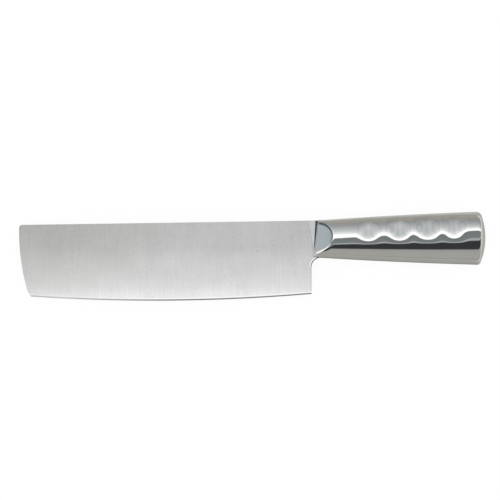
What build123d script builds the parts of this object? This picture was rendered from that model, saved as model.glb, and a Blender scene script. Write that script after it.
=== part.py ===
# A narrow Chinese cleaver with a hollow steel handle, lying on its side.
# X runs along the handle towards the butt, Y runs up towards the spine and Z is the thickness.
# Lengths are millimetres and angles are degrees.
import os
from math import asin, cos, hypot, radians, sin, sqrt, tan

from build123d import *

os.makedirs("parts", exist_ok=True)

# Blade, seen from the side. Heights are measured from the handle's axis at the neck.
blade_length = 210.0  # heel to the foremost point of the tip
heel_setback = 2.9  # the heel stands this far in front of the neck
heel_depth = 39.5
belly_depth = 44.3  # deepest point of the cutting edge
toe_depth = 41.4
toe_setback = 8.8  # the toe corner lies this far behind the foremost point
toe_curl = 5.8  # height of the tighter curve above the toe corner
spine_fall = 3.2  # the spine is this much lower at the tip than at the neck
tip_radius = 157.0
tip_lead = 5.6  # height of the foremost point above the handle's axis
tip_corner_radius = 2.2
heel_radius = 6.5
belly_place_share = 0.58  # place of the belly along the blade, from the heel

# Blade thickness
spine_thickness = 2.0
shoulder_thickness = 0.9  # just above the edge bevel
edge_thickness = 0.16
bevel_height = 1.3
plunge_setback = 5.2  # where the flat grind starts at the spine, in front of the neck
plunge_depth = 8.0  # depth at which the grind comes closest to the bolster
plunge_gap = 1.0  # unground strip between the grind and the bolster there

# Tang
tang_length = 14.0
tang_height = 14.0
tang_corner = 2.0
tang_clearance = 0.05

# Handle
shell_length = 113.2
shell_wall = 0.7
neck_height = 26.6
neck_thickness = 17.0
butt_height = 38.1
butt_thickness = 25.0
handle_swell = 0.5  # how far the top and bottom lines bow outwards
butt_rise = 0.58  # the handle's axis climbs this much from the neck to the butt
neck_overrun = 4.0  # the handle is built this far past the neck and then trimmed
bar_steps = 4  # stretches between the sections that shape the handle

# Grip dents in the broad sides
dent_shares = (0.327, 0.520, 0.695, 0.851)  # places along the handle
dent_depth = 1.5
dent_length = 19.0
dent_lift = 3.7  # the dents sit this far above the handle's axis

# Bolster
bolster_length = 17.0
bolster_clearance = 0.05
front_lean = 5.7  # the front face leans back towards the spine
cheek_stand = 3.3  # half thickness of the cheeks at the front of the neck
cheek_slope = 25.2
cheek_roll = 7.9
cheek_round = 3.2  # polished edge round the flat of each cheek

# Butt cap
cap_rim = 1.2
cap_round = 4.2
dome_rise = 6.7
skirt_depth = 4.0
skirt_clearance = 0.05

# Welds
weld_width = 0.8  # the welds fill the gaps between the shells and in front of the cap
bead_leg = 0.6
bead_stop = 0.3  # the beads end this far inside the handle's top and bottom lines
web_angle = 100.0  # how far round the heel's curve the blade reaches under the neck

overrun = 1.0  # how far cutters reach past what they cut

# Derived places. The origin is the middle of the bounding box, at its underside.
tip_reach = heel_setback + blade_length
rim_start = shell_length + weld_width
handle_length = rim_start + cap_rim
butt_reach = handle_length + dome_rise
neck_x = (tip_reach - butt_reach) / 2
axis_y = (belly_depth - butt_height / 2 - butt_rise) / 2
middle_z = butt_thickness / 2
neck = (neck_x, axis_y, middle_z)
side_plane = Plane(origin=neck)
front_slope = tan(radians(front_lean))
front_plane = Plane(origin=neck, x_dir=(0, 0, 1), z_dir=(1, -front_slope, 0))


def half_height(distance):
    """Half height of the handle at a distance behind the neck."""
    share = distance / handle_length
    straight = neck_height + (butt_height - neck_height) * share
    return straight / 2 + 4 * handle_swell * share * (1 - share)


def half_thickness(distance):
    """Half thickness of the handle at a distance behind the neck."""
    return (neck_thickness + (butt_thickness - neck_thickness) * distance / handle_length) / 2


def cross_plane(distance):
    """The plane across the handle, with X up towards the spine and Y through the thickness."""
    centre_y = axis_y + butt_rise * distance / handle_length
    return Plane(origin=(neck_x + distance, centre_y, middle_z), x_dir=(0, 1, 0), z_dir=(1, 0, 0))


def half_oval(distance, inset, side):
    """One side of the handle's section, closed along the seam plane and drawn in by an inset."""
    tall = half_height(distance) - inset
    wide = half_thickness(distance) - inset
    with BuildSketch(cross_plane(distance)) as section:
        with BuildLine():
            start_angle = 90 - 90 * side
            arc = EllipticalCenterArc((0, 0), tall, wide, start_angle=start_angle, arc_size=180)
            Line(arc @ 1, arc @ 0)
        make_face()
    return section.sketch


def half_bar(start, end, inset, side):
    """One side of the handle as a solid bar between two places along it."""
    places = [start + (end - start) * step / bar_steps for step in range(bar_steps + 1)]
    with BuildPart() as form:
        loft([half_oval(distance, inset, side) for distance in places])
    return form.part


def seam_section(distance, line):
    """A seam weld's section at the spine line (1) or at the belly line (-1)."""
    half_gap = weld_width / 2
    with BuildSketch(cross_plane(distance)) as section:
        for inset, mode in ((0, Mode.ADD), (shell_wall, Mode.SUBTRACT)):
            tall = half_height(distance) - inset
            shoulder = tall * sqrt(1 - (half_gap / (half_thickness(distance) - inset)) ** 2)
            with BuildLine():
                crown = ThreePointArc((line * shoulder, half_gap), (line * tall, 0), (line * shoulder, -half_gap))
                Polyline(crown @ 1, (0, -half_gap), (0, half_gap), crown @ 0)
            make_face(mode=mode)
    return section.sketch


def oval_form(start, end, inset):
    """A solid oval bar between two places on the handle, drawn in by an inset."""
    sections = []
    for distance in (start, end):
        with BuildSketch(cross_plane(distance)) as section:
            Ellipse(half_height(distance) - inset, half_thickness(distance) - inset)
        sections.append(section.sketch)
    with BuildPart() as form:
        loft(sections, ruled=True)
    return form.part


def cheek_plane(side):
    """The flat of one cheek, on the right side (1) or the left side (-1)."""
    outward = (-tan(radians(cheek_slope)), tan(radians(cheek_roll)), side)
    return Plane(origin=(neck_x, axis_y, middle_z + side * cheek_stand), z_dir=outward)


dent_radius = ((dent_length / 2) ** 2 + dent_depth**2) / (2 * dent_depth)


def dent_balls(side, grow):
    """The balls that press the grip dents into one side, grown by the sheet's thickness inside."""
    with BuildPart() as balls:
        for share in dent_shares:
            distance = share * handle_length
            surface = half_thickness(distance) * sqrt(1 - (dent_lift / half_height(distance)) ** 2)
            ball_z = middle_z + side * (surface - dent_depth + dent_radius)
            with Locations((neck_x + distance, axis_y + butt_rise * share + dent_lift, ball_z)):
                Sphere(dent_radius + grow)
    return balls.part


def envelope(side):
    """One side of the handle from outside, with its front face, cheek and polished edge."""
    with BuildPart() as form:
        add(half_bar(-neck_overrun, shell_length, 0, side))
        split(bisect_by=front_plane, keep=Keep.TOP)
        split(bisect_by=cheek_plane(side), keep=Keep.BOTTOM)
        cheek = form.faces().filter_by(cheek_plane(side))[0]
        fillet(cheek.edges().filter_by(GeomType.LINE, reverse=True), radius=cheek_round)
    return form.part


sides = {"right": 1, "left": -1}
envelopes = {side: envelope(side) for side in sides.values()}


# Blade with its tang
spine_back = (front_slope * neck_height / 2, neck_height / 2)


def tip_point(height):
    """A point of the tip's long curve at a height from the handle's axis."""
    centre = tip_radius - tip_reach
    return (centre - sqrt(tip_radius**2 - (height - tip_lead) ** 2), height)


tip_top = tip_point(neck_height / 2 - spine_fall)
toe_start = tip_point(toe_curl - toe_depth)
tip_middle = tip_point((tip_top[1] + toe_start[1]) / 2)
toe_corner = (toe_setback - tip_reach, -toe_depth)
belly = (-heel_setback - blade_length * belly_place_share, -belly_depth)
heel_corner = (-heel_setback, -heel_depth)
heel_centre_x = heel_radius - heel_setback
heel_centre = (heel_centre_x, -half_height(heel_centre_x) - heel_radius)
web_turn = radians(web_angle)
web_end = (heel_centre[0] + heel_radius * cos(web_turn), heel_centre[1] + heel_radius * sin(web_turn))
neck_bottom = (-front_slope * neck_height / 2, -neck_height / 2)

# The flat grind of both sides thins the blade from the spine down to the edge bevel
spine_half = spine_thickness / 2
shoulder_half = shoulder_thickness / 2
ground_depth = belly_depth - bevel_height
taper = (spine_half - shoulder_half) / (neck_height / 2 + ground_depth)
under = belly_depth + overrun
under_half = shoulder_half - taper * (under - ground_depth)
tip_plane = Plane(
    origin=(neck_x - tip_reach - overrun, axis_y, middle_z), x_dir=(0, 1, 0), z_dir=(1, 0, 0)
)
with BuildPart() as grind:
    with BuildSketch(tip_plane):
        for side in sides.values():
            with BuildLine():
                Polyline(
                    (neck_height / 2, side * spine_half),
                    (-under, side * under_half),
                    (-under, side * (spine_half + overrun)),
                    (neck_height / 2, side * (spine_half + overrun)),
                    close=True,
                )
            make_face()
    extrude(amount=tip_reach + overrun)
    with BuildSketch(side_plane):
        with BuildLine():
            plunge_top = (-plunge_setback, neck_height / 2 + overrun)
            plunge_middle = (-front_slope * plunge_depth - plunge_gap, -plunge_depth)
            plunge_foot = (-heel_setback, heel_centre[1])
            ThreePointArc(plunge_top, plunge_middle, plunge_foot)
            Polyline(
                plunge_foot,
                (overrun, heel_centre[1]),
                (overrun, -under - overrun),
                (-tip_reach - 2 * overrun, -under - overrun),
                (-tip_reach - 2 * overrun, neck_height / 2 + overrun),
                plunge_top,
            )
        make_face()
    extrude(amount=spine_thickness + overrun, both=True, mode=Mode.INTERSECT)

with BuildPart() as blade:
    with BuildSketch(side_plane) as blade_side:
        with BuildLine():
            Line(spine_back, tip_top)
            tip = ThreePointArc(tip_top, tip_middle, toe_start)
            TangentArc(toe_start, toe_corner, tangent=tip % 1)
            ThreePointArc(toe_corner, belly, heel_corner)
            heel = Line(heel_corner, (-heel_setback, heel_centre[1]))
            TangentArc(heel @ 1, web_end, tangent=heel % 1)
            Line(web_end, (web_end[0], -half_height(web_end[0])))
            Line((web_end[0], -half_height(web_end[0])), neck_bottom)
            Line(neck_bottom, spine_back)
        make_face()
        fillet(blade_side.vertices().sort_by_distance(tip_top)[0], radius=tip_corner_radius)
        with Locations(((tang_length - heel_setback) / 2, 0)):
            Rectangle(tang_length + heel_setback, tang_height)
        fillet(blade_side.vertices().group_by(Axis.X)[-1], radius=tang_corner)
    extrude(amount=spine_half, both=True)
    add(grind.part, mode=Mode.SUBTRACT)
    edge_face = blade.faces().sort_by_distance((neck_x + belly[0], axis_y + belly[1], middle_z))[0]
    long_edges = edge_face.edges().sort_by(SortBy.LENGTH)[-2:]
    chamfer(
        long_edges,
        length=shoulder_half - edge_thickness / 2,
        length2=bevel_height,
        reference=edge_face,
    )
blade.part.label = "blade"
export_step(blade.part, "parts/blade.step")


# Bolster, a solid plug in the neck that holds the tang
with BuildPart() as bolster:
    for side in sides.values():
        plug = half_bar(-2 * neck_overrun, bolster_length, shell_wall + bolster_clearance, side)
        add(envelopes[side].intersect(plug))
    with BuildSketch(side_plane) as slot:
        slot_length = tang_length + tang_clearance
        with Locations(((slot_length - neck_overrun) / 2, 0)):
            Rectangle(slot_length + neck_overrun, tang_height + 2 * tang_clearance)
        fillet(slot.vertices().group_by(Axis.X)[-1], radius=tang_corner)
    extrude(amount=spine_half + tang_clearance, both=True, mode=Mode.SUBTRACT)
bolster.part.label = "bolster"
export_step(bolster.part, "parts/bolster.step")

# Handle shells, one for each broad side
for name, side in sides.items():
    with BuildPart() as hollow:
        add(half_bar(-2 * neck_overrun, shell_length + overrun, shell_wall, side))
        add(dent_balls(side, shell_wall), mode=Mode.SUBTRACT)
    seam_edge = Plane(origin=(0, 0, middle_z + side * weld_width / 2), z_dir=(0, 0, side))
    with BuildPart() as shell:
        add(envelopes[side])
        add(dent_balls(side, 0), mode=Mode.SUBTRACT)
        split(bisect_by=seam_edge, keep=Keep.TOP)
        add(hollow.part, mode=Mode.SUBTRACT)
    shell.part.label = f"handle_shell_{name}"
    export_step(shell.part, f"parts/handle_shell_{name}.step")

# Seam welds along the handle, ground flush with the shells
weld_places = [
    (neck_overrun + shell_length) * step / bar_steps - neck_overrun for step in range(bar_steps + 1)
]
for name, line in (("top", 1), ("bottom", -1)):
    with BuildPart() as seam_weld:
        loft([seam_section(distance, line) for distance in weld_places])
        split(bisect_by=front_plane, keep=Keep.TOP)
    seam_weld.part.label = f"seam_weld_{name}"
    export_step(seam_weld.part, f"parts/seam_weld_{name}.step")

# Ring weld between the shells and the cap, ground flush
with BuildPart() as cap_weld:
    add(oval_form(shell_length, rim_start, 0))
    add(oval_form(shell_length, rim_start, shell_wall), mode=Mode.SUBTRACT)
cap_weld.part.label = "cap_weld"
export_step(cap_weld.part, "parts/cap_weld.step")

# Butt cap with a domed end and a skirt inside the shells
skirt_inset = shell_wall + skirt_clearance
hollow_inset = skirt_inset + shell_wall
butt_y = axis_y + butt_rise
butt_centre = (neck_x + handle_length, butt_y, middle_z)


def dome(rise, radius, half_width, edge_radius):
    """The domed end: an arc at the rim, then one large arc, turned and flattened to an oval."""
    arc_reach = radius - edge_radius
    crown_radius = (rise**2 + arc_reach**2 - edge_radius**2) / (2 * (rise - edge_radius))
    crown_x = rise - crown_radius
    join_turn = asin(arc_reach / hypot(crown_x, arc_reach))
    join = (crown_x + crown_radius * cos(join_turn), crown_radius * sin(join_turn))
    crown_middle = (crown_x + crown_radius * cos(join_turn / 2), crown_radius * sin(join_turn / 2))
    with BuildPart() as body:
        with BuildSketch(Plane(origin=butt_centre)):
            with BuildLine():
                TangentArc((0, radius), join, tangent=(1, 0))
                ThreePointArc(join, crown_middle, (rise, 0))
                Polyline((rise, 0), (0, 0), (0, radius))
            make_face()
        revolve(axis=Axis(butt_centre, (1, 0, 0)))
        scale(by=(1, 1, half_width / radius), about=butt_centre)
    return body.part


with BuildPart() as butt_cap:
    add(oval_form(rim_start, handle_length, 0))
    add(oval_form(shell_length - skirt_depth, rim_start, skirt_inset))
    add(dome(dome_rise, butt_height / 2, butt_thickness / 2, cap_round))
    add(
        oval_form(shell_length - skirt_depth, handle_length, hollow_inset),
        mode=Mode.SUBTRACT,
    )
    add(
        dome(
            dome_rise - shell_wall,
            butt_height / 2 - hollow_inset,
            butt_thickness / 2 - hollow_inset,
            cap_round - shell_wall,
        ),
        mode=Mode.SUBTRACT,
    )
butt_cap.part.label = "butt_cap"
export_step(butt_cap.part, "parts/butt_cap.step")

# Fillet beads between the blade and the bolster's front face
bead_reach = neck_height / 2 - bead_stop
for name, side in sides.items():
    foot = (neck_x - front_slope * bead_reach, axis_y - bead_reach, middle_z + side * spine_half)
    bead_plane = Plane(origin=foot, x_dir=(-1, front_slope, 0), z_dir=(front_slope, 1, 0))
    with BuildPart() as bead:
        with BuildSketch(bead_plane):
            with BuildLine():
                Polyline((0, 0), (bead_leg, 0), (0, side * bead_leg), close=True)
            make_face()
        extrude(amount=2 * hypot(bead_reach, front_slope * bead_reach))
    bead.part.label = f"blade_weld_{name}"
    export_step(bead.part, f"parts/blade_weld_{name}.step")
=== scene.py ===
from math import acos, asin, cos, hypot, pi, radians, sin, tan

import bmesh
import bpy
from mathutils import Matrix, Vector


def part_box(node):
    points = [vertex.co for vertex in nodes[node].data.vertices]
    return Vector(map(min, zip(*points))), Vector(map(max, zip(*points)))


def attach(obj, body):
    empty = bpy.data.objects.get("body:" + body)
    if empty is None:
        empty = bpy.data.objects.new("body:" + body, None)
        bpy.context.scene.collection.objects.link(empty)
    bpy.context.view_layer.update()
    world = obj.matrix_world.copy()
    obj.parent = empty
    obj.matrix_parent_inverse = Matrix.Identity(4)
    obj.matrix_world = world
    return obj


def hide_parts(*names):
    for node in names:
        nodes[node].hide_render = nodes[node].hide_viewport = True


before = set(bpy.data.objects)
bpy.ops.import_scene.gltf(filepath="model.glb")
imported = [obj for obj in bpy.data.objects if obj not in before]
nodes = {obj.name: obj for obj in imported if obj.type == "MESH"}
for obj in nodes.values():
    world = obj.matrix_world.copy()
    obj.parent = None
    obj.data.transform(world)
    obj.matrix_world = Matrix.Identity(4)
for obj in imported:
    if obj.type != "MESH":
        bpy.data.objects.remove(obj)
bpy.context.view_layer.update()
scene = bpy.context.scene
scene.view_settings.view_transform = "Standard"
mm = 0.001

# Where things are, all worked out from the frame
bladeLow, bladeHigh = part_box("blade")
capLow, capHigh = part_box("butt_cap")
middleY = (capLow.y + capHigh.y) / 2
middleZ = (bladeLow.z + bladeHigh.z) / 2
buttRise = 0.58  # millimetres that the handle's middle line rises from the neck to the butt
print("frame loaded")

# Camera, straight above the knife as in the photograph
view = {
    "height": 2.0, "metresAcross": 0.3591,
    "middleX": -0.00158, "middleY": 0.00445,
    "sensor": 36.0, "farthest": 20,
}
cameraData = bpy.data.cameras.new("camera")
camera = bpy.data.objects.new("camera", cameraData)
scene.collection.objects.link(camera)
camera.location = (view["middleX"], view["middleY"], middleZ + view["height"])
cameraData.sensor_width = view["sensor"]
cameraData.lens = view["sensor"] * view["height"] / view["metresAcross"]
cameraData.clip_end = view["farthest"]
scene.camera = camera


# Helpers for meshes
def linkMesh(name, bm):
    mesh = bpy.data.meshes.new(name)
    bm.to_mesh(mesh)
    bm.free()
    thing = bpy.data.objects.new(name, mesh)
    scene.collection.objects.link(thing)
    return thing


def gridMesh(along, around, place):
    # A grid whose points are placed by a function of two shares
    bm = bmesh.new()
    bmesh.ops.create_grid(bm, x_segments=along, y_segments=around, size=1)
    for vert in bm.verts:
        vert.co = place((vert.co.x + 1) / 2, (vert.co.y + 1) / 2)
    return bm


def smoothPiece(piece):
    # Smooth faces, with open rims kept sharp so that a wall doesn't round them
    uses = {}
    for face in piece.data.polygons:
        face.use_smooth = True
        for key in face.edge_keys:
            uses[key] = uses.get(key, 0) + 1
    for edge in piece.data.edges:
        edge.use_edge_sharp = uses.get(edge.key, 0) < 2


def addPiece(name, bm, material):
    piece = linkMesh(name, bm)
    piece.data.materials.append(material)
    smoothPiece(piece)
    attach(piece, "root")
    return piece


# Helpers for materials
def newMaterial(name):
    material = bpy.data.materials.new(name)
    material.use_nodes = True
    tree = material.node_tree
    return material, tree, tree.nodes["Principled BSDF"]


def addNode(tree, kind, settings=None, inputs=None):
    # An input takes a plain value or the output of another node
    node = tree.nodes.new(kind)
    for name, value in (settings or {}).items():
        setattr(node, name, value)
    for name, value in (inputs or {}).items():
        if isinstance(value, bpy.types.NodeSocket):
            tree.links.new(value, node.inputs[name])
        else:
            node.inputs[name].default_value = value
    return node


def mapRange(tree, value, window, levels=(0, 1)):
    # Follows a value through a window, from the first level to the second
    return addNode(tree, "ShaderNodeMapRange", {}, {
        "Value": value, "From Min": window[0], "From Max": window[1],
        "To Min": levels[0], "To Max": levels[1],
    }).outputs[0]


def multiply(tree, first, *others):
    product = first
    for other in others:
        inputs = {0: product, 1: other}
        product = addNode(tree, "ShaderNodeMath", {"operation": "MULTIPLY"}, inputs).outputs[0]
    return product


def mixColours(tree, share, first, second):
    # A Mix node has its colours on sockets 6 and 7, and gives its result on socket 2
    inputs = {0: share}
    for number, colour in ((6, first), (7, second)):
        inputs[number] = colour if isinstance(colour, bpy.types.NodeSocket) else (*colour, 1)
    return addNode(tree, "ShaderNodeMix", {"data_type": "RGBA"}, inputs).outputs[2]


def scaleColour(tree, colour, factor):
    inputs = {0: colour, "Scale": factor}
    return addNode(tree, "ShaderNodeVectorMath", {"operation": "SCALE"}, inputs).outputs[0]


def addRamp(tree, share, stops):
    # Stops are a place and a colour
    ramp = addNode(tree, "ShaderNodeValToRGB", {}, {0: share})
    elements = ramp.color_ramp.elements
    elements.remove(elements[1])
    for number, (place, colour) in enumerate(stops):
        element = elements[0] if number == 0 else elements.new(place)
        element.position = place
        element.color = (*colour, 1)
    return ramp.outputs[0]


def objectPlace(tree):
    # The place on a piece as a vector, and its X, Y and Z
    place = tree.nodes.new("ShaderNodeTexCoord").outputs["Object"]
    return place, addNode(tree, "ShaderNodeSeparateXYZ", {}, {0: place}).outputs


screenGamma = 2.2
weakTint = 0.4


def screenColour(grey, blue=0, mirror=1):
    # A grey as a screen shows it, or as a mirror of a given colour does. It is bluer by a share, or warmer
    # where that is negative.
    level = (grey / 255) ** screenGamma / mirror
    return level * (1 - max(blue, weakTint * blue)), level, level * (1 + min(blue, weakTint * blue))


# Studio: a pale floor, a white room and one soft lamp
studio = {
    "floorSize": 4.0, "floorDrop": 0.6 * mm, "floorColour": (0.95, 0.95, 0.95), "floorRough": 0.9,
    "floorGlow": 0.92,
    "lampSize": 2.5, "lampPower": 12, "lampHeight": 2.4,
}


def addWorld():
    world = bpy.data.worlds.new("studio")
    scene.world = world
    world.use_nodes = True
    background = world.node_tree.nodes["Background"]
    background.inputs["Color"].default_value = (1, 1, 1, 1)
    background.inputs["Strength"].default_value = 1


def addLamp():
    lampData = bpy.data.lights.new("topLamp", "AREA")
    lampData.shape = "DISK"
    lampData.size = studio["lampSize"]
    lampData.energy = studio["lampPower"]
    lamp = bpy.data.objects.new("topLamp", lampData)
    scene.collection.objects.link(lamp)
    lamp.location = (0, 0, studio["lampHeight"])
    lamp.visible_glossy = False


def flatCard(name, size, drop):
    # A level card below the knife
    def place(along, around):
        return Vector(((2 * along - 1) * size / 2, (2 * around - 1) * size / 2, -drop))

    return linkMesh(name, gridMesh(1, 1, place))


def addFloor():
    # The camera and the mirrors see the floor nearly white, and the knife's shadow stays on it
    floor = flatCard("floor", studio["floorSize"], studio["floorDrop"])
    material, tree, shader = newMaterial("floor")
    shader.inputs["Base Color"].default_value = (*studio["floorColour"], 1)
    shader.inputs["Roughness"].default_value = studio["floorRough"]
    shader.inputs["Specular IOR Level"].default_value = 0
    path = tree.nodes.new("ShaderNodeLightPath").outputs
    seen = addNode(tree, "ShaderNodeMath", {"operation": "MAXIMUM"}, {
        0: path["Is Camera Ray"], 1: path["Is Glossy Ray"],
    })
    white = tree.nodes.new("ShaderNodeEmission")
    mix = addNode(tree, "ShaderNodeMixShader", {}, {
        0: multiply(tree, seen.outputs[0], studio["floorGlow"]), 1: shader.outputs[0], 2: white.outputs[0],
    })
    tree.links.new(mix.outputs[0], tree.nodes["Material Output"].inputs["Surface"])
    floor.data.materials.append(material)


# Tents round the knife that only reflections see: the handle's, the blade's, and a black one outside. They
# are in metres, and reach so many degrees to each side of the zenith.
tent = {
    "handleRadius": 0.5, "bladeRadius": 0.45, "outerRadius": 0.55,
    "length": 6.0, "reach": 91.4, "cells": 64, "mirrorColour": 0.90,
    "endReach": 0.6, "tipCloth": (0.05, 0.075, 0.085), "buttCloth": (0.62, 0.61, 0.59),
}
tentCentre = Vector((0, middleY - buttRise * mm, middleZ))


def hideFromCamera(card):
    # Only reflections see the card
    card.visible_camera = False
    card.visible_diffuse = False
    card.visible_shadow = False


def addTent(name, radius, material):
    # A half round roof over the knife
    def place(along, around):
        turn = radians(tent["reach"] * (1 - 2 * around))
        lengthwise = (2 * along - 1) * tent["length"] / 2
        return tentCentre + Vector((lengthwise, radius * sin(turn), radius * cos(turn)))

    roof = linkMesh(name, gridMesh(1, tent["cells"], place))
    roof.data.materials.append(material)
    hideFromCamera(roof)
    return roof


def addTentEnd(name, end, material):
    # A card that closes the tents at one end
    def place(along, around):
        reach = tent["endReach"]
        lengthwise = end * tent["length"] / 2
        return tentCentre + Vector((lengthwise, (2 * along - 1) * reach, (2 * around - 1) * reach))

    card = linkMesh(name, gridMesh(1, 1, place))
    card.data.materials.append(material)
    hideFromCamera(card)


def clothMaterial(name, colour):
    # An even cloth that hides what is behind it
    material = bpy.data.materials.new(name)
    material.use_nodes = True
    tree = material.node_tree
    tree.nodes.clear()
    cloth = addNode(tree, "ShaderNodeEmission", {}, {"Color": (*colour, 1)})
    addNode(tree, "ShaderNodeOutputMaterial", {}, {"Surface": cloth.outputs[0]})
    return material


def glowMaterial(name, colour=(1, 1, 1)):
    # A glow that leaves what is behind it to be seen, so that tents can be layered
    material = bpy.data.materials.new(name)
    material.use_nodes = True
    tree = material.node_tree
    tree.nodes.clear()
    glow = addNode(tree, "ShaderNodeEmission", {}, {"Color": (*colour, 1)})
    clear = tree.nodes.new("ShaderNodeBsdfTransparent")
    both = addNode(tree, "ShaderNodeAddShader", {}, {0: glow.outputs[0], 1: clear.outputs[0]})
    addNode(tree, "ShaderNodeOutputMaterial", {}, {"Surface": both.outputs[0]})
    return material, tree, glow


def tentPlace(tree):
    # Angle from the zenith towards the spine side, as a share of the half turn, and place along the tent
    coords = tree.nodes.new("ShaderNodeTexCoord").outputs["Object"]
    shift = addNode(tree, "ShaderNodeVectorMath", {"operation": "SUBTRACT"}, {0: coords, 1: tentCentre})
    split = addNode(tree, "ShaderNodeSeparateXYZ", {}, {0: shift.outputs[0]}).outputs
    turn = addNode(tree, "ShaderNodeMath", {"operation": "ARCTAN2"}, {0: split["Y"], 1: split["Z"]})
    return mapRange(tree, turn.outputs[0], (-pi / 2, pi / 2)), split["X"]


def angleShare(angle):
    return (angle + 90) / 180


def changeAlong(tree, along, places, before, after):
    # Fades from one colour to another between two places
    return mixColours(tree, mapRange(tree, along, places), before, after)


def changeAcross(tree, angle, angles, before, after):
    # Fades from one colour to another between two angles round the tent
    return mixColours(tree, mapRange(tree, angle, [angleShare(turn) for turn in angles]), before, after)


# What the handle mirrors, from the edge side to the spine side: pale cloth with a thin darker line, black
# cloth, a light strip, slate, and a soft box with a sharp lower edge that fades towards the spine side. The
# stops are an angle from the zenith, a grey as a screen shows it, and how blue it is.
handleMirror = {
    "stopShift": 0.9,
    "stops": (
        (-88, 160, -0.07), (-81, 157, -0.07), (-77.5, 134, -0.04), (-74, 156, -0.07), (-48, 154, -0.05),
        (-39.5, 148, 0), (-36.5, 56, 0.03), (-22, 56, 0.08), (-17.5, 52, 0.08), (-15.5, 165, 0.05),
        (-12.5, 165, 0.05), (-10.5, 122, 0.08), (7.4, 116, 0.09), (8.8, 262, 0), (16, 262, 0), (22, 222, 0.02),
        (30, 192, 0.03), (40, 171, 0.04), (50, 155, 0.04), (60, 143, 0), (75, 142, -0.14), (88, 153, -0.07),
    ),
    "foldsPerMetre": 19, "foldDetail": 2, "foldWindow": (0.3, 0.7), "foldLevels": (0.86, 1.14),
    "foldAngles": (16, 24),
    "flag": (0.085, 0.115, 0.13), "flagPlaces": (-0.22, -0.19),
    "strip": (1.05, 1.05, 1.05), "stripPlaces": (-0.29, -0.25), "stripAngles": (8, 13),
    "paleCloth": (0.42, 0.47, 0.49), "palePlaces": (-0.49, -0.43),
    "lightCloth": (0.62, 0.62, 0.61), "lightPlaces": (-0.85, -0.7), "lightAngles": (36, 44),
    "buttPlaces": (0.95, 1.3),
}


def foldedCloth(tree, along, angle, colour):
    # Soft folds in the cloth on the spine side, which the grip dents show as faint stripes
    folds = addNode(tree, "ShaderNodeTexNoise", {"noise_dimensions": "1D"}, {
        "W": multiply(tree, along, handleMirror["foldsPerMetre"]),
        "Scale": 1, "Detail": handleMirror["foldDetail"],
    })
    level = mapRange(tree, folds.outputs[0], handleMirror["foldWindow"], handleMirror["foldLevels"])
    return changeAcross(tree, angle, handleMirror["foldAngles"], colour, scaleColour(tree, colour, level))


def handleGlow():
    # Towards the tip the cheeks mirror a dark flag on the spine side with a white strip below it, then pale
    # cloth, and beyond that light cloth with a dark part on the spine side. Far behind the butt the tent is
    # like its end.
    mirror = handleMirror
    material, tree, glow = glowMaterial("handleTent")
    angle, along = tentPlace(tree)
    bands = addRamp(tree, angle, [
        (angleShare(turn + mirror["stopShift"]), screenColour(grey, blue, tent["mirrorColour"]))
        for turn, grey, blue in mirror["stops"]
    ])
    folds = foldedCloth(tree, along, angle, bands)
    darkFlag = changeAlong(tree, along, mirror["flagPlaces"], mirror["flag"], folds)
    whiteStrip = changeAlong(tree, along, mirror["stripPlaces"], mirror["strip"], folds)
    beyondNeck = changeAcross(tree, angle, mirror["stripAngles"], whiteStrip, darkFlag)
    paleCloth = changeAlong(tree, along, mirror["palePlaces"], mirror["paleCloth"], beyondNeck)
    lightPart = changeAcross(tree, angle, mirror["lightAngles"], mirror["lightCloth"], mirror["flag"])
    lightCloth = changeAlong(tree, along, mirror["lightPlaces"], lightPart, paleCloth)
    buttWall = changeAlong(tree, along, mirror["buttPlaces"], lightCloth, tent["buttCloth"])
    tree.links.new(buttWall, glow.inputs["Color"])
    return material


# What the blade mirrors: one wide soft box, darker cloth at the sides, and a grey end beyond the tip
bladeMirror = {
    "stops": (
        (-88, 215), (-60, 205), (-48, 198), (-40, 236), (-20, 245), (25, 245), (45, 210), (70, 203), (88, 215),
    ),
    "end": (0.55, 0.56, 0.56), "endPlaces": (-1.3, -0.8),
}


def bladeGlow():
    material, tree, glow = glowMaterial("bladeTent")
    angle, along = tentPlace(tree)
    bands = addRamp(tree, angle, [
        (angleShare(turn), screenColour(grey, 0, tent["mirrorColour"])) for turn, grey in bladeMirror["stops"]
    ])
    nearEnd = changeAlong(tree, along, bladeMirror["endPlaces"], bladeMirror["end"], bands)
    tree.links.new(nearEnd, glow.inputs["Color"])
    return material


# Mats under the knife that only reflections see. The handle's mat has bands, each a place across the knife in
# millimetres and a grey level. It is plain behind the butt, and lighter further back.
mats = {
    "size": 2.0, "drop": 0.3 * mm, "gap": 0.1 * mm,
    # The dark bands under the handle and just beside its edge side are a painted shadow
    "bands": (
        (-300, 0.30), (-104, 0.37), (-60, 0.37), (-36, 0.36), (-22, 0.32), (-12, 0.22), (0, 0.22),
        (28, 0.58), (40, 0.54), (61, 0.46), (85, 0.38), (129, 0.34), (250, 0.31),
    ),
    "blueShare": 0.95,
    "plain": (0.42, 0.42, 0.40), "plainStart": -4 * mm, "plainEnd": 2 * mm,
    "light": (0.66, 0.65, 0.62), "lightStart": 18 * mm, "lightEnd": 40 * mm,
    "blade": (0.70, 0.70, 0.69),
}


def handleMatGlow():
    material, tree, glow = glowMaterial("handleMat")
    split = objectPlace(tree)[1]
    lowest, highest = mats["bands"][0][0], mats["bands"][-1][0]
    bands = addRamp(tree, mapRange(tree, split["Y"], (lowest * mm, highest * mm)), [
        ((place - lowest) / (highest - lowest), (level, level, level * mats["blueShare"]))
        for place, level in mats["bands"]
    ])
    plainPlaces = (capHigh.x + mats["plainStart"], capHigh.x + mats["plainEnd"])
    lightPlaces = (capHigh.x + mats["lightStart"], capHigh.x + mats["lightEnd"])
    plain = changeAlong(tree, split["X"], plainPlaces, bands, mats["plain"])
    light = changeAlong(tree, split["X"], lightPlaces, plain, mats["light"])
    tree.links.new(light, glow.inputs["Color"])
    return material


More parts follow.
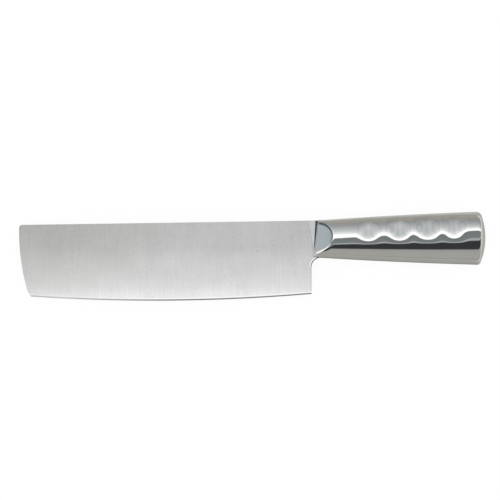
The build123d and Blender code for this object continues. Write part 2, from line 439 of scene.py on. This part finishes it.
def addMat(name, layer, material):
    mat = flatCard(name, mats["size"], mats["drop"] + layer * mats["gap"])
    mat.data.materials.append(material)
    hideFromCamera(mat)
    return mat


addWorld()
handleTent = addTent("handleTent", tent["handleRadius"], handleGlow())
bladeTent = addTent("bladeTent", tent["bladeRadius"], bladeGlow())
blackCloth = clothMaterial("tentCloth", (0, 0, 0))
addTent("tentCloth", tent["outerRadius"], blackCloth)
addTentEnd("tentEndTip", -1, clothMaterial("tipCloth", tent["tipCloth"]))
addTentEnd("tentEndButt", 1, clothMaterial("buttCloth", tent["buttCloth"]))
print("tents made")
addFloor()
handleMat = addMat("handleMat", 0, handleMatGlow())
bladeMat = addMat("bladeMat", 1, glowMaterial("bladeMat", mats["blade"])[0])
addMat("blackMat", 2, blackCloth)
addLamp()

# Each tent and its mat are mirrored only by the pieces of one collection
handleSide = bpy.data.collections.new("handleSide")
bladeSide = bpy.data.collections.new("bladeSide")
for side, cards in ((handleSide, (handleTent, handleMat)), (bladeSide, (bladeTent, bladeMat))):
    for card in cards:
        card.light_linking.receiver_collection = side
print("floor, mats and lamp made")


# Grain that all the steels share: a noise stretched and turned over the piece, and a level drawn from it
grainRoughness = 0.6


def makeSteelGrain():
    group = bpy.data.node_groups.new("steelGrain", "ShaderNodeTree")
    group.interface.new_socket(name="Scale", in_out="INPUT", socket_type="NodeSocketVector")
    for name in ("Detail", "Turn", "Window Start", "Window End", "First Level", "Last Level"):
        group.interface.new_socket(name=name, in_out="INPUT", socket_type="NodeSocketFloat")
    for name in ("Noise", "Level"):
        group.interface.new_socket(name=name, in_out="OUTPUT", socket_type="NodeSocketFloat")
    given = group.nodes.new("NodeGroupInput").outputs
    coords = group.nodes.new("ShaderNodeTexCoord")
    turn = addNode(group, "ShaderNodeCombineXYZ", {}, {"Z": given["Turn"]})
    mapping = addNode(group, "ShaderNodeMapping", {}, {
        "Vector": coords.outputs["Object"], "Rotation": turn.outputs[0], "Scale": given["Scale"],
    })
    noise = addNode(group, "ShaderNodeTexNoise", {}, {
        "Vector": mapping.outputs[0], "Scale": 1, "Detail": given["Detail"], "Roughness": grainRoughness,
    }).outputs[0]
    window = (given["Window Start"], given["Window End"])
    level = mapRange(group, noise, window, (given["First Level"], given["Last Level"]))
    addNode(group, "NodeGroupOutput", {}, {"Noise": noise, "Level": level})
    return group


steelGrain = makeSteelGrain()


def addGrain(tree, scale, detail, turn, window, levels):
    return addNode(tree, "ShaderNodeGroup", {"node_tree": steelGrain}, {
        "Scale": scale, "Detail": detail, "Turn": radians(turn),
        "Window Start": window[0], "Window End": window[1],
        "First Level": levels[0], "Last Level": levels[1],
    }).outputs


# Polished steel of the handle, with a little haze, stray hairlines and slight waves. Each grain is its scale
# along, across and through the piece, its detail, its turn in degrees, its window and its levels.
polish = {
    "colour": (0.90, 0.90, 0.89), "roughWindow": (0.3, 0.75), "roughness": (0.04, 0.085),
    "haze": ((60, 60, 60), 4, 0, (0.3, 0.7), (0.98, 1.02)),
    "hairlines": ((40, 2600, 900), 2, 7, (0.66, 0.78), (1, 0.94)),
    "waves": ((95, 95, 95), 1, 0, (0, 1), (0, 1)), "waveHeight": 0.012 * mm,
}


def polishedSteel():
    material, tree, shader = newMaterial("polishedSteel")
    haze = addGrain(tree, *polish["haze"])
    hairlines = addGrain(tree, *polish["hairlines"])
    waves = addGrain(tree, *polish["waves"])
    colour = scaleColour(tree, polish["colour"], multiply(tree, haze["Level"], hairlines["Level"]))
    roughness = mapRange(tree, haze["Noise"], polish["roughWindow"], polish["roughness"])
    bump = addNode(tree, "ShaderNodeBump", {}, {
        "Strength": 1, "Distance": polish["waveHeight"], "Height": waves["Noise"],
    })
    shader.inputs["Metallic"].default_value = 1
    tree.links.new(colour, shader.inputs["Base Color"])
    tree.links.new(roughness, shader.inputs["Roughness"])
    tree.links.new(bump.outputs[0], shader.inputs["Normal"])
    return material


# Weld metal: a fine grain, with painted shade at the top of the beads beside the blade
weld = {
    # The dark colour that the top of each bead fades to is painted shade
    "pale": (0.60, 0.60, 0.59), "dark": (0.035, 0.055, 0.065), "fade": (3.5 * mm, 7 * mm),
    "metallic": 0.25, "roughness": 0.38,
    "grain": ((1400, 1400, 1400), 3, 0, (0.3, 0.7), (0.88, 1.12)),
}


def weldSteel():
    material, tree, shader = newMaterial("weldSteel")
    split = objectPlace(tree)[1]
    beadTopShade = changeAlong(tree, split["Y"], weld["fade"], weld["pale"], weld["dark"])
    colour = scaleColour(tree, beadTopShade, addGrain(tree, *weld["grain"])["Level"])
    shader.inputs["Metallic"].default_value = weld["metallic"]
    shader.inputs["Roughness"].default_value = weld["roughness"]
    tree.links.new(colour, shader.inputs["Base Color"])
    return material


# Brushed steel of the blade. Painted light and shade runs over its depth, lighter from the spine to the
# edge, and over its length, darker and warmer towards the tip, and the edge side has a darker tone of its
# own near the tip.
brush = {
    "roughness": 0.36, "anisotropy": 0.75, "bumpStrength": 0.12, "bumpHeight": 0.02 * mm,
    "depth": (-32.0 * mm, 25.5 * mm),
    # Painted light and shade over the depth, each a share from the edge to the spine and a grey
    "depthShadingGreys": (
        (0.0, 240), (0.06, 236), (0.17, 221), (0.28, 213), (0.36, 209), (0.51, 203), (0.66, 192), (1.0, 188),
    ),
    "length": (-160 * mm, 40 * mm),
    # Painted light and shade over the length, darker and warmer at the tip
    "lengthShadingTones": (
        (0.0, (0.87, 0.87, 0.83)), (0.22, (0.91, 0.91, 0.88)), (0.44, (0.97, 0.97, 0.96)),
        (0.62, (1.03, 1.03, 1.03)), (0.8, (1.02, 1.02, 1.02)), (1.0, (0.99, 0.99, 0.99)),
    ),
    "edgeSide": (-165 * mm, -70 * mm), "edgeSideTones": (0.915, 1),
    "lines": ((1500, 14, 14), 3, 0, (0.3, 0.7), (0.978, 1.022)),
    "fineLines": ((5200, 60, 60), 2, 0, (0.3, 0.7), (0.945, 1.055)),
    "blotches": ((46, 46, 46), 3, 0, (0.3, 0.7), (0.955, 1.045)),
    "grain": ((1150, 1150, 1150), 2, 0, (0.3, 0.7), (0.955, 1.045)),
    "scratches": ((55, 2300, 400), 1, 33, (0.68, 0.76), (1, 1.05)),
    "crossScratches": ((55, 2300, 400), 1, -52, (0.68, 0.76), (1, 1.05)),
    "specks": ((480, 480, 480), 1, 0, (0.70, 0.77), (1, 0.86)),
}

# The lighter strip beside the handle with a darker line in front of it, the dark line of the spine, the painted
# shade line of the heel, the painted highlight and dark reflection of the honed edge, the painted shade line
# beside the weld, and the painted highlight and shade of the rounded web above the heel, all in millimetres
bladeLines = {
    "stripX": 44.77, "stripLean": 0.170, "strip": (-0.1, 0.5), "stripTone": 1.14,
    "stripLine": (-0.55, 0, 0.2), "stripLineTone": 0.87,
    "spine": 0.45, "spineSoft": 0.2, "spineTone": 0.86,
    # The heel's dark line is painted shade, joining the web's painted outline
    "heelX": 42.1, "heelSoft": 0.1, "heelPart": (-7, -10), "heelShadeTone": 0.72,
    "edgePoints": ((-158.6, -29.065), (-79.2, -31.965), (42.6, -27.165)),
    # A painted highlight above a painted dark reflection along the honed edge
    "edgePaintedHighlight": (-1.8, -1.0, 0.12), "edgePaintedHighlightColour": (1, 1, 1),
    "edgePaintedShade": (-0.9, 1, 0.12), "edgePaintedShadeColour": (0.24, 0.24, 0.24),
    "edgePaintPart": (-135, -60), "edgePaintShares": (0.35, 1),
    # Painted shade in a dark blue line beside the weld, where the blade meets the bolster
    "stepShadeX": 44.0, "stepShadeLean": -0.053, "stepShadeSoft": 0.12,
    "stepShadePart": (4.5, 6.5), "stepShadeColour": (0.06, 0.085, 0.095),
    "webCentre": (49.1, -7.7), "webRadius": 6.5, "webPart": (-9, -5.5),
    # A painted highlight on the web's rounded rim and a painted shade outline
    "webPaintedHighlight": (0.75, 1.5, 0.15), "webPaintedHighlightColour": (0.95, 0.95, 0.95),
    "webPaintedShade": (-2, 0.65, 0.1), "webPaintedShadeColour": (0.10, 0.11, 0.11),
}


def near(place, low, high):
    # A window beside a place in millimetres, in metres
    return (place + low) * mm, (place + high) * mm


def band(tree, value, place, reach):
    # One between two distances from a place, with soft ends
    low, high, soft = reach
    rise = mapRange(tree, value, near(place, low - soft, low + soft))
    fall = mapRange(tree, value, near(place, high + soft, high - soft))
    return multiply(tree, rise, fall)


def leaningPlace(tree, split, lean):
    # The place along the knife, measured from a leaning line
    inputs = {0: split["Y"], 1: lean, 2: split["X"]}
    return addNode(tree, "ShaderNodeMath", {"operation": "MULTIPLY_ADD"}, inputs).outputs[0]


def distanceFrom(tree, coords, centre):
    # Distance from a centre in the side view
    place = (centre[0] * mm, centre[1] * mm, 0)
    offset = addNode(tree, "ShaderNodeVectorMath", {"operation": "SUBTRACT"}, {0: coords, 1: place})
    flat = addNode(tree, "ShaderNodeVectorMath", {"operation": "MULTIPLY"}, {0: offset.outputs[0], 1: (1, 1, 0)})
    size = addNode(tree, "ShaderNodeVectorMath", {"operation": "LENGTH"}, {0: flat.outputs[0]})
    return size.outputs["Value"]


def circleThrough(first, second, third):
    # Centre and radius of the circle through three points
    ax, ay = second - first
    bx, by = third - first
    twice = 2 * (ax * by - ay * bx)
    ux = (by * (ax**2 + ay**2) - ay * (bx**2 + by**2)) / twice
    uy = (ax * (bx**2 + by**2) - bx * (ax**2 + ay**2)) / twice
    return first + Vector((ux, uy)), hypot(ux, uy)


def bladePaintedShading(tree, split):
    # The painted shading over the depth is lighter towards the edge. The painted shading over the length counts
    # most on the spine side, and the edge side's tone near the edge
    depth = mapRange(tree, split["Y"], brush["depth"])
    depthShading = addRamp(tree, depth, [(place, screenColour(grey)) for place, grey in brush["depthShadingGreys"]])
    spineSide = addRamp(tree, mapRange(tree, split["X"], brush["length"]), brush["lengthShadingTones"])
    edgeSide = mapRange(tree, split["X"], brush["edgeSide"], brush["edgeSideTones"])
    sides = mixColours(tree, depth, edgeSide, spineSide)
    return addNode(tree, "ShaderNodeVectorMath", {"operation": "MULTIPLY"}, {0: depthShading, 1: sides}).outputs[0]


def bladeShades(tree, split):
    # Factors for the strip beside the handle, its line, the spine's line and the heel's painted shade line
    lines = bladeLines
    leaning = leaningPlace(tree, split, lines["stripLean"])
    strip = mapRange(tree, leaning, near(lines["stripX"], *lines["strip"]), (1, lines["stripTone"]))
    stripLine = band(tree, leaning, lines["stripX"], lines["stripLine"])
    spineY = bladeHigh.y / mm - lines["spine"]
    spineWindow = near(spineY, -lines["spineSoft"], lines["spineSoft"])
    heelWindow = near(lines["heelX"], -lines["heelSoft"], lines["heelSoft"])
    heel = multiply(
        tree, mapRange(tree, split["X"], heelWindow), mapRange(tree, split["Y"], near(0, *lines["heelPart"]))
    )
    return (
        strip,
        mapRange(tree, stripLine, (0, 1), (1, lines["stripLineTone"])),
        mapRange(tree, split["Y"], spineWindow, (1, lines["spineTone"])),
        mapRange(tree, heel, (0, 1), (1, lines["heelShadeTone"])),
    )


def paintHighlightsAndShade(tree, coords, split, colour):
    # Along the honed edge a painted highlight lies above a painted dark reflection, all along the belly
    lines = bladeLines
    centre, radius = circleThrough(*(Vector(point) for point in lines["edgePoints"]))
    fromEdge = distanceFrom(tree, coords, centre)
    edgePaintShare = mapRange(tree, split["X"], near(0, *lines["edgePaintPart"]), lines["edgePaintShares"])
    # Beside the weld a dark blue line of painted shade lies where the blade meets the bolster
    leaning = leaningPlace(tree, split, lines["stepShadeLean"])
    bladeStepShade = mapRange(tree, leaning, near(lines["stepShadeX"], -lines["stepShadeSoft"], lines["stepShadeSoft"]))
    stepShadePart = mapRange(tree, split["Y"], near(0, *lines["stepShadePart"]))
    # The web above the heel has a painted highlight on its rounded rim and a painted shade outline
    fromWeb = distanceFrom(tree, coords, lines["webCentre"])
    webPart = mapRange(tree, split["Y"], near(0, *lines["webPart"]))
    for mask, share, paint in (
        (band(tree, fromEdge, radius, lines["edgePaintedHighlight"]), edgePaintShare, lines["edgePaintedHighlightColour"]),
        (band(tree, fromEdge, radius, lines["edgePaintedShade"]), edgePaintShare, lines["edgePaintedShadeColour"]),
        (bladeStepShade, stepShadePart, lines["stepShadeColour"]),
        (band(tree, fromWeb, lines["webRadius"], lines["webPaintedHighlight"]), webPart, lines["webPaintedHighlightColour"]),
        (band(tree, fromWeb, lines["webRadius"], lines["webPaintedShade"]), webPart, lines["webPaintedShadeColour"]),
    ):
        colour = mixColours(tree, multiply(tree, mask, share), colour, paint)
    return colour


def brushedSteel():
    material, tree, shader = newMaterial("brushedSteel")
    coords, split = objectPlace(tree)
    fineLines = addGrain(tree, *brush["fineLines"])
    others = ("lines", "blotches", "grain", "scratches", "crossScratches", "specks")
    grains = [addGrain(tree, *brush[name])["Level"] for name in others]
    factor = multiply(tree, fineLines["Level"], *grains, *bladeShades(tree, split))
    colour = paintHighlightsAndShade(tree, coords, split, scaleColour(tree, bladePaintedShading(tree, split), factor))
    bump = addNode(tree, "ShaderNodeBump", {}, {
        "Strength": brush["bumpStrength"], "Distance": brush["bumpHeight"], "Height": fineLines["Noise"],
    })
    across = addNode(tree, "ShaderNodeCombineXYZ", {}, {"X": 1})
    shader.inputs["Metallic"].default_value = 1
    shader.inputs["Roughness"].default_value = brush["roughness"]
    shader.inputs["Anisotropic"].default_value = brush["anisotropy"]
    tree.links.new(colour, shader.inputs["Base Color"])
    tree.links.new(bump.outputs[0], shader.inputs["Normal"])
    tree.links.new(across.outputs[0], shader.inputs["Tangent"])
    return material


steel = polishedSteel()
beadSteel = weldSteel()
satin = brushedSteel()
for name, node in nodes.items():
    finish = satin if name == "blade" else beadSteel if name.startswith("blade_weld") else steel
    for materialSlot in node.material_slots:
        materialSlot.material = finish
print("materials made")

# Handle: an egg-shaped bar with flat cheeks at the neck and grip dents on both broad sides, in millimetres
handle = {
    "length": 115.2, "shellLength": 113.2, "domeRise": 6.7,
    "neckHeight": 26.6, "neckThickness": 17.0, "neckWidest": -2.6,
    "buttHeight": 38.1, "buttThickness": 25.0, "buttWidest": 4.2,
    "swell": 0.5, "wall": 0.65, "seamGap": 0.8,
    "searchReach": 1.3, "searchSteps": 20, "mergeReach": 0.002, "tiny": 1e-6,
    "neckCells": 66, "neckReach": 17.0, "gripCells": 150, "aroundCells": 100,
}
# Each dent's place, lift above the axis, depth, length and height
dents = (
    (37.8, 6.2, 1.33, 20.3, 21.4),
    (60.0, 7.2, 1.71, 22.2, 23.0),
    (80.3, 8.6, 1.92, 25.5, 25.6),
    (99.0, 9.0, 1.70, 22.6, 26.1),
)
# The flat cheeks beside the blade, which are the bolster's own faces
cheek = {
    "stand": 3.1, "slope": 25.2, "roll": 7.9, "round": 5.0, "leastRound": 1e-4,
    "flatReach": 0.004, "edgeReach": 0.6,
}
# The leaning front face and its rounded edge, which is sharper near the seams
front = {
    "lean": 5.7, "round": 2.4, "seamRound": 0.6, "seamStart": 0.75, "seamFade": 0.2,
    "corner": 88, "cells": 8, "leanRounds": 3, "bladeHalf": 1.0,
}
neckX = capHigh.x / mm - handle["length"] - handle["domeRise"]
axisY = middleY / mm - buttRise
frontSlope = tan(radians(front["lean"]))
cheekNormal = Vector((-tan(radians(cheek["slope"])), tan(radians(cheek["roll"])), 1)).normalized()
cheekPoint = Vector((0, 0, cheek["stand"]))


def halfHeight(distance):
    # The handle tapers, and swells a little by its middle
    share = distance / handle["length"]
    straight = handle["neckHeight"] + (handle["buttHeight"] - handle["neckHeight"]) * share
    return straight / 2 + 4 * handle["swell"] * share * (1 - share)


def halfThickness(distance):
    share = distance / handle["length"]
    return (handle["neckThickness"] + (handle["buttThickness"] - handle["neckThickness"]) * share) / 2


def widestLine(distance):
    # Height of the handle's thickest line above the middle of its section
    share = min(1, max(0, distance / handle["length"]))
    return handle["neckWidest"] + (handle["buttWidest"] - handle["neckWidest"]) * share


def hump(offset, span):
    return cos(pi * offset / span) ** 2 if abs(offset) < span / 2 else 0


def dent(distance, up):
    return sum(
        depth * hump(distance - place, length) * hump(up - lift, height)
        for place, lift, depth, length, height in dents
    )


def surfaceValue(distance, up, out):
    # Signed distance to the handle's outside, with the cheek's edge rounded
    widest = widestLine(distance)
    raised = up - widest
    tall = halfHeight(distance) - widest if raised > 0 else halfHeight(distance) + widest
    wide = halfThickness(distance)
    pressed = out + dent(distance, up)
    level = max(hypot(raised / tall, pressed / wide), handle["tiny"])
    slope = Vector((0, raised / tall**2, pressed / wide**2))
    steep = max(slope.length, handle["tiny"])
    oval = (level - 1) * level / steep
    flat = (Vector((distance, up, out)) - cheekPoint).dot(cheekNormal)
    turn = acos(max(-1, min(1, slope.dot(cheekNormal) / steep)))
    reach = max(cheek["round"] * tan(turn / 2) * sin(turn), cheek["leastRound"])
    if min(oval, flat) < -reach:
        return max(oval, flat)
    return hypot(oval + reach, flat + reach) - reach


def handlePoint(distance, turn, inset):
    # A point of the skin, drawn in by an inset, at a turn round the section, 90 degrees at the spine
    up = halfHeight(distance) * sin(turn)
    out = halfThickness(distance) * cos(turn)
    low, high = 0.0, handle["searchReach"]
    for step in range(handle["searchSteps"]):
        middle = (low + high) / 2
        if surfaceValue(distance, up * middle, out * middle) > -inset:
            high = middle
        else:
            low = middle
    return up * low, out * low


def toWorld(distance, up, out):
    rise = buttRise * min(1, distance / handle["length"])
    return Vector(((neckX + distance) * mm, (axisY + rise + up) * mm, middleZ + out * mm))


def frontCorner(up, out):
    # The angle between the front face and the skin behind it
    level = (Vector((frontSlope * up, up, out)) - cheekPoint).dot(cheekNormal)
    return radians(90 - cheek["slope"]) if abs(level) < cheek["edgeReach"] else radians(front["corner"])


def seamTurn(turnShare, distance):
    # Turn round the section, up to the gap that the seam welds fill
    return turnShare * (pi / 2 - asin(handle["seamGap"] / 2 / halfThickness(distance)))


def skinRow(turnShare, row):
    # The first rows go round the front edge, then come the neck's rows and the grip's
    up, out = handlePoint(0, seamTurn(turnShare, 0), 0)
    corner = frontCorner(up, out)
    nearSeam = min(1, max(0, (abs(turnShare) - front["seamStart"]) / front["seamFade"]))
    radius = front["round"] + (front["seamRound"] - front["round"]) * nearSeam**2 * (3 - 2 * nearSeam)
    edgeReach = radius * (1 - cos(corner))
    inset = 0
    if row <= front["cells"]:
        part = corner * row / front["cells"]
        along = radius * (1 - cos(part))
        inset = radius * (1 - cos(corner - part))
    elif row <= front["cells"] + handle["neckCells"]:
        part = (row - front["cells"]) / handle["neckCells"]
        along = edgeReach + (handle["neckReach"] - edgeReach) * part
    else:
        part = (row - front["cells"] - handle["neckCells"]) / handle["gripCells"]
        along = handle["neckReach"] + (handle["shellLength"] - handle["neckReach"]) * part
    # The lean fades out along the neck. It depends on the point's height, so the point is found in rounds.
    fade = max(0, 1 - along / handle["neckReach"])
    for step in range(front["leanRounds"] if fade else 1):
        distance = along + frontSlope * up * fade
        up, out = handlePoint(distance, seamTurn(turnShare, distance), inset)
    return toWorld(distance, up, out)


def closeFront(skin, rowFlag):
    # The front face runs from the skin's front edge down to the blade
    edges = [edge for edge in skin.edges if all(vert[rowFlag] == 0 for vert in edge.verts)]
    turnedIn = bmesh.ops.extrude_edge_only(skin, edges=edges)
    for item in turnedIn["geom"]:
        if isinstance(item, bmesh.types.BMVert):
            item.co.z = min(item.co.z, middleZ + front["bladeHalf"] * mm)
            item[rowFlag] = -1
    bmesh.ops.remove_doubles(skin, verts=skin.verts, dist=handle["mergeReach"] * mm)


def handleSkin():
    # The outside of the shown half, in one sheet
    skin = bmesh.new()
    rows = front["cells"] + handle["neckCells"] + handle["gripCells"]
    bmesh.ops.create_grid(skin, x_segments=rows, y_segments=handle["aroundCells"], size=1)
    rowFlag = skin.verts.layers.int.new("row")
    for vert in skin.verts:
        row = round((vert.co.x + 1) / 2 * rows)
        vert[rowFlag] = row
        vert.co = skinRow(vert.co.y, row)
    closeFront(skin, rowFlag)
    bmesh.ops.recalc_face_normals(skin, faces=skin.faces)
    if sum(face.normal.z for face in skin.faces) < 0:
        bmesh.ops.reverse_faces(skin, faces=skin.faces)
    return skin


def onBolster(face, rowFlag):
    # The flat of the cheek, and the front face with its rounded edge beside it
    if min(vert[rowFlag] for vert in face.verts) < front["cells"]:
        return True
    for vert in face.verts:
        place = Vector((vert.co.x / mm - neckX, vert.co.y / mm - axisY, (vert.co.z - middleZ) / mm))
        place.y -= buttRise * place.x / handle["length"]
        if abs((place - cheekPoint).dot(cheekNormal)) > cheek["flatReach"]:
            return False
    return True


def sidePart(skin, bolster, side):
    # The bolster's part of the skin or the shell's, turned over for the far side
    part = skin.copy()
    rowFlag = part.verts.layers.int["row"]
    dropped = [face for face in part.faces if onBolster(face, rowFlag) != bolster]
    bmesh.ops.delete(part, geom=dropped, context="FACES")
    if side < 0:
        bmesh.ops.scale(part, vec=(1, 1, -1), verts=part.verts, space=Matrix.Translation((0, 0, -middleZ)))
        bmesh.ops.reverse_faces(part, faces=part.faces)
    return part


def addWall(piece, wall):
    # Gives a skin its sheet thickness, inwards
    sheet = piece.modifiers.new("wall", "SOLIDIFY")
    sheet.thickness = wall * mm
    sheet.offset = -1


skin = handleSkin()
print("handle skin made")
shellRight = addPiece("handleShellRight", sidePart(skin, False, 1), steel)
shellLeft = addPiece("handleShellLeft", sidePart(skin, False, -1), steel)
addWall(shellRight, handle["wall"])
addWall(shellLeft, handle["wall"])
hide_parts("handle_shell_right")
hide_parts("handle_shell_left")
print("handle shells made")

# Neck: the cheeks and front faces of both sides are one piece
plug = {"wall": 0.6}
cheeks = sidePart(skin, True, 1)
farCheek = sidePart(skin, True, -1)
farMesh = bpy.data.meshes.new("farCheek")
farCheek.to_mesh(farMesh)
cheeks.from_mesh(farMesh)
farCheek.free()
skin.free()
bpy.data.meshes.remove(farMesh)
neckPlug = addPiece("neckPlug", cheeks, steel)
addWall(neckPlug, plug["wall"])
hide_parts("bolster")
print("neck plug made")

# Butt: the ring weld, ground flush, and the domed cap. The cap's corner is rounder on the spine side, and
# sharper and a little further back on the edge side.
butt = {
    "rim": 1.2, "round": 4.2, "sharper": 2.0, "longer": 1.0, "wall": 0.65,
    "ringRows": 2, "rimRows": 3, "capRows": 66, "aroundCells": 180,
}


def ringPlace(start, end):
    def place(along, around):
        distance = start + (end - start) * along
        return toWorld(distance, *handlePoint(min(distance, handle["length"]), 2 * pi * around, 0))

    return place


def domePoint(share, full, rise, edge):
    # How far behind the rim the dome is, and how large its section, at a share of its profile
    reach = full - edge
    crown = (rise**2 + reach**2 - edge**2) / (2 * (rise - edge))
    join = asin(reach / hypot(rise - crown, reach))
    walked = share * (edge * (pi / 2 - join) + crown * join)
    if walked < edge * (pi / 2 - join):
        turn = pi / 2 - walked / edge
        return edge * cos(turn), (reach + edge * sin(turn)) / full
    turn = join - (walked - edge * (pi / 2 - join)) / crown
    return rise - crown + crown * cos(turn), crown * sin(turn) / full


def capPlace(along, around):
    # The rim comes first, then the dome
    lower = (1 - sin(2 * pi * around)) / 2
    rim = handle["length"] + butt["longer"] * lower
    rimShare = butt["rimRows"] / butt["capRows"]
    if along < rimShare:
        return ringPlace(handle["length"] - butt["rim"], rim)(along / rimShare, around)
    share = (along - rimShare) / (1 - rimShare)
    rise = handle["domeRise"] - butt["longer"] * lower
    edge = butt["round"] - butt["sharper"] * lower
    behind, ratio = domePoint(share, halfHeight(handle["length"]), rise, edge)
    up, out = handlePoint(handle["length"], 2 * pi * around, 0)
    return toWorld(rim + behind, up * ratio, out * ratio)


def addRing(name, rows, place):
    # A closed ring with its mesh seam and pole merged, and its faces pointing out
    bm = gridMesh(rows, butt["aroundCells"], place)
    bm.normal_update()
    bmesh.ops.remove_doubles(bm, verts=bm.verts, dist=handle["mergeReach"] * mm)
    bmesh.ops.recalc_face_normals(bm, faces=bm.faces)
    middle = sum((face.calc_center_median() for face in bm.faces), Vector()) / len(bm.faces)
    if sum((face.calc_center_median() - middle).dot(face.normal) for face in bm.faces) < 0:
        bmesh.ops.reverse_faces(bm, faces=bm.faces)
    ring = addPiece(name, bm, steel)
    addWall(ring, butt["wall"])
    return ring


weldPlace = ringPlace(handle["shellLength"], handle["length"] - butt["rim"])
ringWeld = addRing("ringWeld", butt["ringRows"], weldPlace)
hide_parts("cap_weld")
buttCap = addRing("buttCap", butt["capRows"], capPlace)
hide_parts("butt_cap")
print("ring weld and butt cap made")

# Which tent each piece mirrors
for piece in (shellRight, shellLeft, neckPlug, ringWeld, buttCap):
    handleSide.objects.link(piece)
for name, node in nodes.items():
    (bladeSide if name == "blade" else handleSide).objects.link(node)
